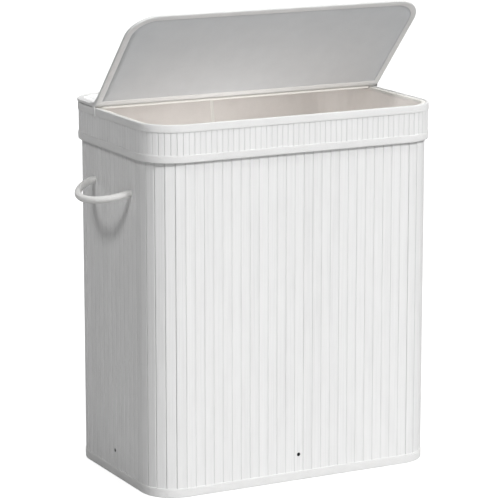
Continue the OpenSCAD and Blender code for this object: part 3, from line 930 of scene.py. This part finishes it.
# %% Panel pieces
flap_joint = next(j for j in frame["joints"] if j["name"] == "flap_hinge")
HINGE = np.array(flap_joint["pos_m"])
rear_low, rear_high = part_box("rear_panel_binding")
PANEL_LOW, PANEL_TOP = rear_low[2], rear_high[2]
PANEL_X = rear_high[0]
HINGE_GAP = 2 * (rear_low[1] - HINGE[1])


def tilted(y, z, angle):
    """y and z turned about X, so that what lies towards the front rises."""
    return y * np.cos(angle) + z * np.sin(angle), z * np.cos(angle) - y * np.sin(angle)


def opened(points):
    """Turns points about the hinge line by the angle at which the flap stands."""
    x, y, z = np.moveaxis(points - HINGE, -1, 0)
    return points_at(x, *tilted(y, z, FLAP_OPEN)) + HINGE


PANELS = {
    "rear_panel": dict(low=(-PANEL_X, HINGE[1] + HINGE_GAP / 2), high=(PANEL_X, rear_high[1]),
                       radii=(HINGE_CORNER_R, HINGE_CORNER_R, REAR_CORNER_R, REAR_CORNER_R),
                       turn=as_built, body="lid_frame"),
    "flap": dict(low=(-PANEL_X, -rear_high[1]), high=(PANEL_X, HINGE[1] - HINGE_GAP / 2),
                 radii=(FLAP_CORNER_R, FLAP_CORNER_R, HINGE_CORNER_R, HINGE_CORNER_R),
                 turn=opened, body="lid_flap"),
}
TAPE_W = 10 * MM
SLAT_END = 3 * MM


def panel_ring(panel):
    """A function that gives the panel's outline at an offset."""
    def ring(offset):
        return rounded_ring(panel["low"], panel["high"], panel["radii"], -offset, 22, 14)
    return ring


def panel_tape(name, panel):
    """C-shaped tape round the panel's edge: (offset, z) points of both leaves."""
    t, w, puff = CLOTH_T, TAPE_W, TAPE_PUFF
    low, top = PANEL_LOW, PANEL_TOP
    corners = [
        (-w, low + t), (-w, low), (-w / 2, low - puff), (0, low), (0, top),
        (-w / 2, top + puff), (-w, top), (-w, top - t), (-t, top - t), (-t, low + t),
    ]
    radii = np.array([0.35, 0.35, 10, 1.9, 1.9, 10, 0.35, 0.35, 0.2, 0.2]) * t
    ring = panel_ring(panel)
    piece = ring_sweep(f"{name}_edge_tape", rounded_chain(corners, radii), ring, panel["turn"])
    dress(piece, tape_cloth, panel["body"], "binding", f"{name}_binding")
    points, _ = ring(-TAPE_W + PANEL_SEAM_IN)
    for side, z, up in (("under", PANEL_LOW - 0.05 * MM, -1), ("top", PANEL_TOP + 0.05 * MM, 1)):
        line = panel["turn"](at_height(points, z))
        tip = panel["turn"](at_height(points, z + up * MM))
        row = stitches(f"{name}_{side}_stitches", line, tip - line)
        dress(row, thread, panel["body"], "binding")


def panel_slats(name, panel):
    """Slats side by side across the panel, each as long as the rounded outline allows: a
    corner takes r - sqrt(r squared - s squared) off a slat that reaches s into it."""
    low, high = np.array(panel["low"]), np.array(panel["high"])
    half = int(np.floor((PANEL_X - CLOTH_T) / LID_PITCH - 0.5))
    middle = np.arange(-half, half + 1) * LID_PITCH
    reach = np.abs(middle) + LID_PITCH / 2
    radius = max(panel["radii"])
    into = np.clip(reach - (PANEL_X - radius), 0, radius - SLAT_END)
    cut = radius - np.sqrt(radius ** 2 - into ** 2) + SLAT_END
    straight = np.full(len(middle), SLAT_END)
    first, last = (cut, straight) if name == "flap" else (straight, cut)
    start, end = low[1] + first, high[1] - last
    profile = bar_profile(LID_PITCH - LID_GAP, SLAT_T)
    share = np.linspace(0, 1, 5)
    y = start[:, None] + (end - start)[:, None] * share[None]
    x = middle[:, None, None] + profile[None, None, :, 0]
    grid = points_at(x, y[..., None], PANEL_TOP - CLOTH_T - SLAT_T + profile[:, 1])
    piece = build(f"{name}_top_slats", panel["turn"](grid), wrap_columns=True, caps=True,
                  tones=slat_tones_and_painted_shade(profile, len(middle)))
    soften(piece)
    dress(piece, panel_paint, panel["body"], "slats", f"{name}_slats")


def panel_cloth_sheet(name, panel):
    """The cloth under the board: rings that shrink from the tape to the middle, with the
    surface a few tenths of a millimetre fuller away from the edge."""
    ring = panel_ring(panel)
    outline, _ = ring(-TAPE_W + 1.5 * MM)
    centre = (np.array(panel["low"]) + np.array(panel["high"])) / 2
    share = np.append(np.linspace(1, 0.04, 25), 0.001)
    xy = centre + (outline - centre)[None] * share[:, None, None]
    drop = 0.15 * MM + 0.45 * MM * np.clip((1 - share) * 6, 0, 1)
    wander = 0.12 * MM * np.sin(xy[..., 0] * 60 + 1) * np.sin(xy[..., 1] * 75)
    z = PANEL_LOW + CLOTH_T - 0.2 * MM - drop[:, None] + wander
    upper = at_height(xy[::-1], PANEL_LOW + CLOTH_T)
    grid = panel["turn"](np.concatenate([upper, at_height(xy, z)]))
    piece = build(f"{name}_underside_cloth", grid, wrap_columns=True, caps=True)
    dress(piece, panel_cloth, panel["body"], "panel_cloth", f"{name}_lining")


for name, panel in PANELS.items():
    panel_tape(name, panel)
    panel_slats(name, panel)
    panel_cloth_sheet(name, panel)
    print(name, "from", panel["low"], "to", panel["high"])

# %% [markdown]
# ## Hinge
#
# The hinge is one strip of tape sewn to both panels: its rear edge stays with the rear panel
# and its front edge goes with the flap. Here it is one piece, built folded at rest and attached
# to neither body. Its middle rows are close together because that is where it folds. Small
# tabs tie its ends to the collar, and a covered strip lies under the rear panel's front edge.

# %% Hinge strip, tabs and the covered strip
RIM_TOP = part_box("collar_top_binding")[1][2] + 0.1 * MM
tape_low, tape_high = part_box("hinge_tape_rear")
HINGE_TAPE_W = tape_high[1] - tape_low[1]
HINGE_TAPE_T = tape_high[2] - tape_low[2]
FOLD_W = 2.4 * MM


def hinge_strip():
    """A closed strip across the hinge. The rows run over the rear panel, round the hinge line
    by the flap's angle, and along the flap."""
    flat = np.linspace(0.12, 1, 5)
    reach = np.concatenate([-flat[::-1], np.linspace(-0.08, 0.08, 9), flat])
    reach = reach * (HINGE_TAPE_W + HINGE_GAP / 2)
    turn = FLAP_OPEN * np.clip(0.5 - reach / FOLD_W, 0, 1)
    width = np.linspace(-PANEL_X, PANEL_X, 40)

    def layer(height):
        y, z = tilted(reach, height, turn)
        return points_at(width[:, None], y + HINGE[1], z + HINGE[2])

    top, under = layer(0.25 * MM), layer(-HINGE_TAPE_T * 0.95)
    grid = np.concatenate([top, under[:, ::-1]], axis=1)
    piece = build("hinge_strip", grid, wrap_columns=True, caps=True)
    dress(piece, tape_cloth, None, "hinge_tape", "hinge_tape_rear", "hinge_tape_flap")
    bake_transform(piece)


def hinge_tabs():
    """A short tab at each end of the hinge: it lies on the rear panel's edge and bends down
    over the collar's band. Its path is a polyline with a soft corner."""
    low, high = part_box("hinge_end_tabs")
    x, inner_end, knee = high[0], PANEL_X - 9 * MM, PANEL_LOW - 2 * MM
    path = rounded_chain([
        (inner_end, PANEL_TOP + 0.3 * MM), (PANEL_X + 0.5 * MM, PANEL_TOP + 0.3 * MM),
        (x + 0.6 * MM, knee), (x + 0.3 * MM, low[2]), (x - 0.3 * MM, low[2]), (x, knee),
        (PANEL_X - 0.1 * MM, PANEL_TOP - 0.2 * MM), (inner_end, PANEL_TOP - 0.2 * MM),
    ], np.array([0.2, 2, 2, 0.2, 0.2, 2, 2, 0.2]) * MM)
    y = np.linspace(low[1], high[1], 9)
    full = 1.1 * MM * np.sqrt(1 - np.linspace(-0.98, 0.98, 9) ** 2)
    hanging = (path[:, 1] < PANEL_LOW) & (path[:, 0] > x)
    across = path[:, 0] + full[:, None] * hanging
    grids = [points_at(sign * across, y[::sign, None], path[:, 1]) for sign in (-1, 1)]
    piece = build("hinge_tabs", grids, wrap_columns=True, caps=True)
    dress(piece, tape_cloth, "lid_frame", "hinge_tape", "hinge_end_tabs")


def panel_rail():
    """A cloth-covered strip under the rear panel's front edge: a rounded bar along X whose
    cover is drawn in by a few hundredths of a millimetre here and there. At each end a thinner strip
    of the same section, squeezed in height, closes the gap between the rim and the panel."""
    low, high = (np.array(corner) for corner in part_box("rear_panel_rail"))
    (y0, z0), (y1, z1) = low[1:], high[1:]
    corners = [(y0, z0), (y1, z0), (y1, z1), (y0, z1)]
    profile = rounded_chain(corners, np.array([1.2, 1.2, 0.5, 0.9]) * MM, 6)
    centre = profile.mean(axis=0)
    x = np.linspace(low[0], high[0], 90)
    full = 1 + 0.012 * np.sin(x * 55) * np.sin(x * 23 + 1)
    section = centre + (profile - centre) * np.minimum(full, 1)[:, None, None]
    y, z = section[..., 0], section[..., 1]
    squeezed = RIM_TOP + (z - z0) / (z1 - z0) * (PANEL_LOW - RIM_TOP)
    end_x = np.linspace(high[0], PANEL_X, len(x))[:, None] - 2 * MM
    grids = [points_at(x[:, None], y, z)]
    grids += [points_at(sign * end_x, y, squeezed) for sign in (-1, 1)]
    piece = build("rear_panel_strip", grids, wrap_columns=True, caps=True)
    dress(piece, cuff_cloth, "lid_frame", "binding", "rear_panel_rail")


hinge_strip()
hinge_tabs()
panel_rail()

# %% [markdown]
# ## Rope handles
#
# Each handle is one cotton rope: from the knot behind the wall, out through its hole, round a
# drooping loop and back in. The tube's radius carries a faint braid, the product of two
# opposed spirals. Inside the wall the rope stays put and outside it swings, so it bends just
# outside the holes; here it is one piece built at rest and attached to neither body.

# %% Rope loops
handle_joint = next(j for j in frame["joints"] if j["name"] == "right_handle_swing")
PIVOT_X = handle_joint["pos_m"][0]
DROOP = np.radians(17.6)
ROPE_REACH = 47 * MM
TAIL_L = 10 * MM
LOOP_BOW = 1.2
BRAID, STRANDS, BRAID_PITCH = 0.012, 8, 14 * MM


def loop_path(side, count=181):
    """Centre line of one handle: straight tail, loop in the drooping plane, straight tail. The
    loop is half an ellipse whose sine is raised to LOOP_BOW, which straightens its legs."""
    t = np.linspace(0, np.pi, count)
    out, along = ROPE_REACH * np.clip(np.sin(t), 0, 1) ** LOOP_BOW, HOLE_Y * np.cos(t)
    loop = points_at(PIVOT_X + out * np.cos(DROOP), along, HANDLE_Z - out * np.sin(DROOP))
    first = points_at(np.linspace(BODY_X - TAIL_L, PIVOT_X, 12)[:-1], HOLE_Y, HANDLE_Z)
    last = first[::-1] * np.array([1, -1, 1])
    path = np.concatenate([first, loop, last])
    kernel = np.ones(7) / 7
    smooth = np.stack([np.convolve(np.pad(line, 3, mode="edge"), kernel, "valid")
                       for line in path.T], -1)
    smooth[[0, -1]] = path[[0, -1]]
    return smooth * np.array([side, 1, 1])


def tube(name, path, radius, sides=48):
    """A tube round a path: side = tangent x the loop's own normal, carried without twist
    because the path is nearly flat. The radius follows 1 + braid cos(k a + w s) cos(k a - w s),
    where a is the angle round the tube, s the run, k half the strands and w 2 pi / pitch."""
    tangent = unit(np.gradient(path, axis=0))
    flat = np.array([np.sign(path[len(path) // 2, 0]) * np.sin(DROOP), 0, np.cos(DROOP)])
    side = unit(np.cross(tangent, flat))
    spiral = 2 * np.pi * run_along(path)[:, None] / BRAID_PITCH
    ka = STRANDS / 2 * np.linspace(0, 2 * np.pi, sides, endpoint=False)
    r = radius * (1 + BRAID * np.cos(ka + spiral) * np.cos(ka - spiral))
    grid = path[:, None] + r[..., None] * spokes(side, np.cross(side, tangent), sides)
    return build(name, grid, wrap_columns=True, caps=True)


def rope_handle(side):
    word = "right" if side > 0 else "left"
    path = loop_path(side)
    piece = tube(f"{word}_rope", path, ROPE_D / 2)
    dress(piece, rope_cotton, None, "rope", f"{word}_handle_rope")
    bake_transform(piece)


rope_handle(1)
rope_handle(-1)

# %% [markdown]
# ## Imported pieces that keep their shape
#
# Boards, battens, hoops, screws and washers are right as they are, so they only get finishes.

# %% Finishes for the imported pieces
# Linings and seam strips take the grey backing cloth, whose darkness is painted shade.
for name, material in (
    ("body_lining", backing_cloth), ("collar_lining", backing_cloth),
    ("rear_seam_strip", backing_cloth), ("rear_panel_seam", backing_cloth),
    ("top_hoop", bamboo_x), ("base_hoop", bamboo_x), ("long_batten", bamboo_x),
    ("short_batten", bamboo_y), ("base_board", fibre_board), ("rear_panel_board", fibre_board),
    ("flap_board", fibre_board), ("batten_screws", black_steel), ("rope_washers", white_nylon),
    ("rope_knots", rope_cotton),
):
    slots = frame["nodes"][name].data.materials
    slots.clear()
    slots.append(material)
